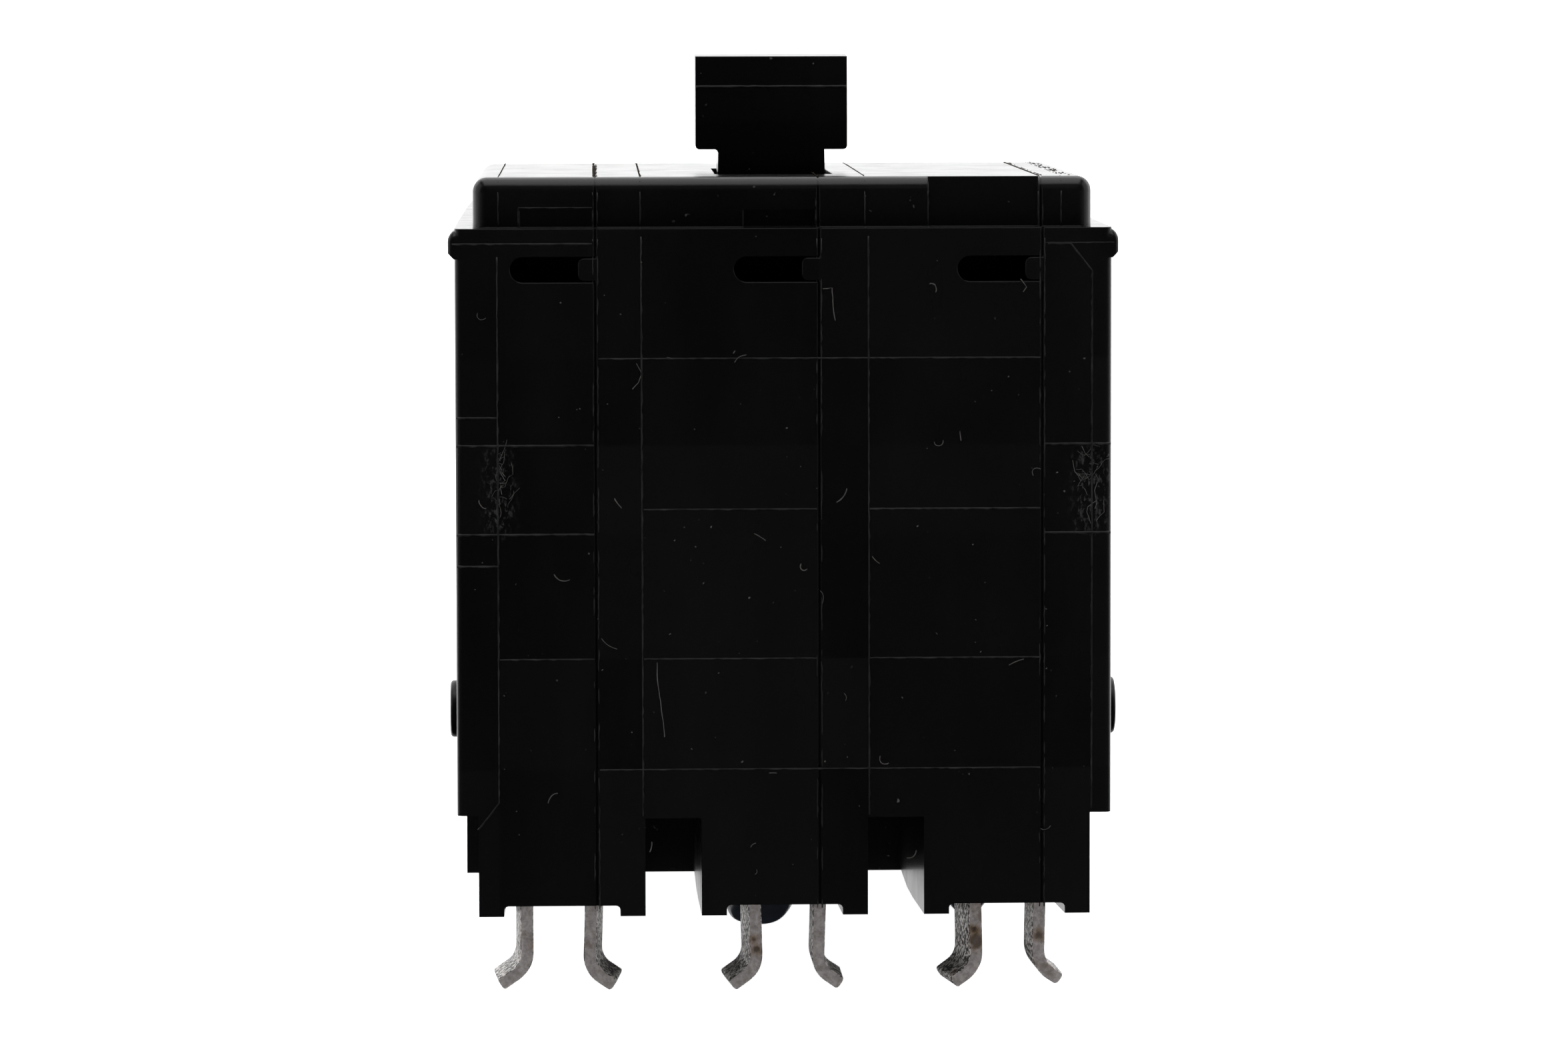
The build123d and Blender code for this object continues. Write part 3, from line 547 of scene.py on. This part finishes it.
# ---- plug-on jaws and seals -----------------------------------------------------------
# each prong: X of its front edge, the side it flares to, its turn in degrees, how far its
# tip reaches sideways and below the knee, the knee's height, and its lean in X per mm
PRONGS = (
    ((-22.08, -1, 5.2, 2.12, 1.38, 1.72, 0.0), (-16.63, 1, -5.5, 2.0, 1.3, 1.5, -0.03)),
    ((-2.48, -1, 6.8, 2.05, 1.38, 1.54, 0.03), (3.01, 1, 0.8, 1.9, 1.24, 1.42, -0.03)),
    ((16.52, -1, 10.8, 1.9, 1.32, 1.57, 0.02), (21.96, 1, 3.3, 1.8, 1.24, 1.62, -0.02)),
)
STRIP_T, STRIP_DEPTH, STRIP_FRONT, STRIP_TOP = 1.1, 5.6, -37.8, 17.2
BEND_R, EDGE_R, LEAN_FROM = 2.3, 0.26, 6.0
# how the rounded tip narrows, and how far each step goes on
TIP_STEPS = ((0.84, 0.12), (0.55, 0.18))
# behind the case, for each pole: half width, span in Y, span in Z
BRIDGE, TAB = (5.95, (-36.7, -28.2), (16.65, 17.8)), (2.6, (-31.4, -30.0), (17.6, 30.0))


def strip_path(side, reach, drop, knee):
    """Middle line of a prong in X and Z: down, round the knee, out to the tip."""
    start, corner = Vector((0, STRIP_TOP)), Vector((0, knee))
    tip = Vector((side * reach, knee - drop))
    away = (tip - corner).normalized()
    turn = math.acos(away.dot(Vector((0, -1))))
    back = BEND_R * math.tan(turn / 2)
    centre = Vector((side * BEND_R, knee + back))
    line = [start.lerp(corner, i / 12) for i in range(12)]
    line = [point for point in line if point.y > knee + back + 0.3]
    for i in range(11):
        angle = turn * i / 10
        line.append(centre + BEND_R * Vector((-side * math.cos(angle), -math.sin(angle))))
    last = line[-1]
    for i in range(1, 5):
        line.append(last.lerp(tip, i / 4))
    return line


def rounded_section(half_t, depth, radius):
    """Corners of the strip's section as (across, along Y) pairs, rounded."""
    section = []
    for sign_t, sign_d, first in ((1, 1, 0), (-1, 1, 90), (-1, -1, 180), (1, -1, 270)):
        for i in range(4):
            angle = math.radians(first + 30 * i)
            across = sign_t * (half_t - radius) + radius * math.cos(angle)
            along = sign_d * (depth / 2 - radius) + radius * math.sin(angle)
            section.append((across, along))
    return section


def add_prong(bm, front_x, side, twist, reach, drop, knee, lean):
    """One stamped prong, swept down its path, with rounded edges and a rounded tip."""
    line = strip_path(side, reach, drop, knee)
    sections = []
    spin = Matrix.Rotation(math.radians(twist), 3, "Z")
    for i, point in enumerate(line):
        before, after = line[max(i - 1, 0)], line[min(i + 1, len(line) - 1)]
        along = (after - before).normalized()
        across = Vector((-along.y, along.x))
        section = []
        for u, v in rounded_section(STRIP_T / 2, STRIP_DEPTH, EDGE_R):
            section.append(Vector((point.x + across.x * u, v, point.y + across.y * u)))
        sections.append(section)
    tip_middle = sum(sections[-1], Vector()) / len(sections[-1])
    onward = Vector((line[-1].x - line[-2].x, 0, line[-1].y - line[-2].y)).normalized()
    for shrink, forward in TIP_STEPS:
        scale = Vector((shrink, 0.9 + 0.1 * shrink, shrink))
        ring = []
        for place in sections[len(line) - 1]:
            squeezed = (place - tip_middle) * scale
            ring.append(tip_middle + squeezed + onward * forward)
        sections.append(ring)
    for section in sections:
        for k, place in enumerate(section):
            turned = spin @ (place + Vector((0, STRIP_DEPTH / 2, 0)))
            shift = Vector((front_x + lean * (LEAN_FROM - place.z), STRIP_FRONT, 0))
            ripple = 0.03 * noise.noise_vector(turned * 0.7 + Vector((front_x, 0, 0)))
            section[k] = turned + shift + ripple
    loft(bm, sections)


def add_jaws():
    """Both prongs of each pole with the bridge and the fixed contact's tab behind the case."""
    for number, prongs in enumerate(PRONGS, 1):
        bm = bmesh.new()
        for prong in prongs:
            add_prong(bm, *prong)
        middle = (prongs[0][0] + prongs[1][0]) / 2
        for half, span, levels in (BRIDGE, TAB):
            corners = rounded_section(half, span[1] - span[0], 0.5)
            centre = (span[0] + span[1]) / 2
            loft(bm, [[(middle + u, centre + v, z) for u, v in corners] for z in levels])
        piece = finish_piece(bm, f"jaw_{number}", "case", FINISHES["tin_plate"])
        sharpen = piece.modifiers.new("smooth_by_angle", "EDGE_SPLIT")
        sharpen.split_angle = math.radians(50)
        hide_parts(f"line_jaw_{number}")


# each seal: X, radius, drop below its seat, and how square its left side is
SEALS = ((-18.75, 2.9, 2.4, 2.6), (-1.1, 3.45, 5.4, 5.0), (17.3, 2.3, 4.7, 3.0))
SEAL_Y, SEAL_SEAT, SEAL_RINGS, SEAL_SLICES, RIGHT_BLUNT = -17.6, 7.6, 14, 48, 2.3


def add_seals():
    """Sagging blobs of sealing compound over the calibration screws."""
    bm = bmesh.new()
    for x, radius, drop, blunt in SEALS:
        sections = []
        for i in range(SEAL_RINGS + 1):
            share = math.sin(math.pi / 2 * i / SEAL_RINGS)
            ring = []
            for k in range(SEAL_SLICES):
                angle = math.tau * k / SEAL_SLICES
                east, north = math.cos(angle), math.sin(angle)
                power = blunt + (RIGHT_BLUNT - blunt) * (0.5 + 0.5 * east) ** 1.5
                depth = max(0.0, 1 - share**power) ** (1 / power)
                wide = radius * share * (1 + 0.04 * math.sin(3 * angle + x))
                down = drop * depth * (1 - 0.05 * max(0.0, east) * share)
                ring.append((x + wide * east, SEAL_Y + wide * north, SEAL_SEAT - down))
            sections.append(ring)
        loft(bm, sections)
    piece = finish_piece(bm, "seal_blobs", "case", FINISHES["seal_compound"])
    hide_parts("seal_drops")


# noise_vector, which ripples the prongs, takes its offsets from this seed
noise.seed_set(11)
FLASH_WITH_HIGHLIGHT, LINT, GRIME = flash_with_painted_highlight(), lint(), grime()
add_flash()
add_grime()
add_handle_line()
add_lint()
add_jaws()
add_seals()


# ---- camera, floor and light ---------------------------------------------------------
CAMERA_SIDE, CAMERA_BACK, CAMERA_HEIGHT = -16.2 * MM, 475 * MM, (84.3 + DATUM) * MM
TARGET_HEIGHT = (56.1 + DATUM) * MM
LENS, SENSOR, ROLL, SHIFT_Y = 128.4, 36, -0.1, -0.119
STAGE_GLOW = 1.0
# painted reflection: the card's glow by its place along Y in mm: far, nearer, before the feet,
# under the case
CARD_REFLECTION_GLOW = ((-420.0, 0.012), (-125.0, 0.03), (-62.0, 0.09), (-38.0, 0.01))
# the card's ends along Y, half its width, and its height over the floor
CARD_NEAR, CARD_FAR, CARD_HALF, CARD_HEIGHT = -0.012, -1.55, 0.8, 0.0002
# the bend up to the backdrop: steps and radius; the ends along Y, half width, backdrop's top
BEND_STEPS, FLOOR_BEND = 24, 0.5
FLOOR_BACK, FLOOR_FRONT, FLOOR_HALF, DROP_TOP = 0.9, -1.6, 2.6, 2.2
SKY_COLOUR, SKY_STRENGTH = (0.9, 0.95, 1.0, 1), 0.03
# each light: place, the point it faces, its sides in metres, its power
LIGHTS = {
    "top": ((0, 0.36, 0.8), (0, 0.24, 0), (0.8, 0.5), 2),
    "overhead": ((0, -0.2, 0.95), (0, -0.05, 0), (0.9, 0.8), 6),
    "left": ((-0.8, 0.05, 0.4), (0, 0, 0.04), (1.0, 0.8), 3),
    "right": ((0.8, 0.05, 0.4), (0, 0, 0.04), (1.0, 0.8), 3),
    "front": ((0.15, -0.9, 0.55), (0, 0, 0.03), (0.35, 0.25), 0.08),
}


def add_camera():
    """Camera a little left of the middle and level with the handle's top."""
    camera = bpy.data.objects.new("camera", bpy.data.cameras.new("camera"))
    bpy.context.collection.objects.link(camera)
    place = Vector((CAMERA_SIDE, LINE_END - CAMERA_BACK, CAMERA_HEIGHT))
    aim = Vector((0, LINE_END, TARGET_HEIGHT)) - place
    turn = aim.to_track_quat("-Z", "Y").to_matrix().to_4x4()
    roll = Matrix.Rotation(math.radians(ROLL), 4, "Z")
    camera.matrix_world = Matrix.Translation(place) @ turn @ roll
    camera.data.lens = LENS
    camera.data.sensor_width = SENSOR
    camera.data.shift_y = SHIFT_Y
    camera.data.clip_start = 0.01
    bpy.context.scene.camera = camera


def area_light(name, place, aim, size, power):
    """Soft rectangular light that faces a point."""
    light = bpy.data.objects.new(name, bpy.data.lights.new(name, "AREA"))
    bpy.context.collection.objects.link(light)
    light.data.shape = "RECTANGLE"
    light.data.size, light.data.size_y = size
    light.data.energy = power
    light.location = place
    light.rotation_euler = (Vector(aim) - Vector(place)).to_track_quat("-Z", "Y").to_euler()


def stage_paint():
    """White that glows softly, as on a light table."""
    paint, shader, _ = material("stage_white")
    shader.inputs["Base Color"].default_value = (0.88, 0.88, 0.88, 1)
    shader.inputs["Roughness"].default_value = 0.85
    shader.inputs["Emission Color"].default_value = (1, 1, 1, 1)
    shader.inputs["Emission Strength"].default_value = STAGE_GLOW
    return paint


def add_card():
    """Grey card on the floor before and under the case, which shows only in reflections: its
    glow is a painted reflection of dark surroundings.
    """
    paint, shader, tree = material("card_painted_reflection")
    along = node(tree, "ShaderNodeSeparateXYZ", {"Vector": place_mm(tree)}).outputs["Y"]
    tone = None
    for (start, low), (end, high) in zip(CARD_REFLECTION_GLOW, CARD_REFLECTION_GLOW[1:]):
        part = step(tree, along, start, end, 0.0, high - low)
        tone = maths(tree, "ADD", tone, part) if tone else maths(tree, "ADD", part, low)
    shader.inputs["Base Color"].default_value = (0, 0, 0, 1)
    shader.inputs["Specular IOR Level"].default_value = 0.0
    # painted reflection: the card glows, graded along Y, and only glossy rays see it
    shader.inputs["Emission Color"].default_value = (0.93, 0.96, 1.0, 1)
    tree.links.new(tone, shader.inputs["Emission Strength"])
    mesh = bpy.data.meshes.new("card")
    outline = ((-1, CARD_FAR), (1, CARD_FAR), (1, CARD_NEAR), (-1, CARD_NEAR))
    corners = [(side * CARD_HALF, y, CARD_HEIGHT) for side, y in outline]
    mesh.from_pydata(corners, [], [(0, 1, 2, 3)])
    card = bpy.data.objects.new("card", mesh)
    bpy.context.collection.objects.link(card)
    mesh.materials.append(paint)
    card.visible_camera = False
    card.visible_diffuse = False
    card.visible_shadow = False


def add_stage():
    """Pale floor that curves up into a backdrop."""
    start = FLOOR_BACK - FLOOR_BEND
    profile = [(FLOOR_FRONT, 0.0), (start, 0.0)]
    for i in range(1, BEND_STEPS + 1):
        angle = math.pi / 2 * i / BEND_STEPS
        rise = FLOOR_BEND * (1 - math.cos(angle))
        profile.append((start + FLOOR_BEND * math.sin(angle), rise))
    profile.append((FLOOR_BACK, DROP_TOP))
    mesh = bpy.data.meshes.new("floor")
    sides = [[(side * FLOOR_HALF, y, z) for y, z in profile] for side in (-1, 1)]
    count = len(profile)
    faces = [(i, i + 1, count + i + 1, count + i) for i in range(count - 1)]
    mesh.from_pydata(sides[0] + sides[1], [], faces)
    floor = bpy.data.objects.new("floor", mesh)
    bpy.context.collection.objects.link(floor)
    for face in mesh.polygons:
        face.use_smooth = True
    mesh.materials.append(stage_paint())


add_camera()
add_stage()
add_card()
for name, setting in LIGHTS.items():
    area_light(name, *setting)
world = bpy.data.worlds.new("studio")
world.use_nodes = True
sky = world.node_tree.nodes["Background"]
sky.inputs["Color"].default_value = SKY_COLOUR
sky.inputs["Strength"].default_value = SKY_STRENGTH
bpy.context.scene.world = world
bpy.context.scene.view_settings.view_transform = "Standard"
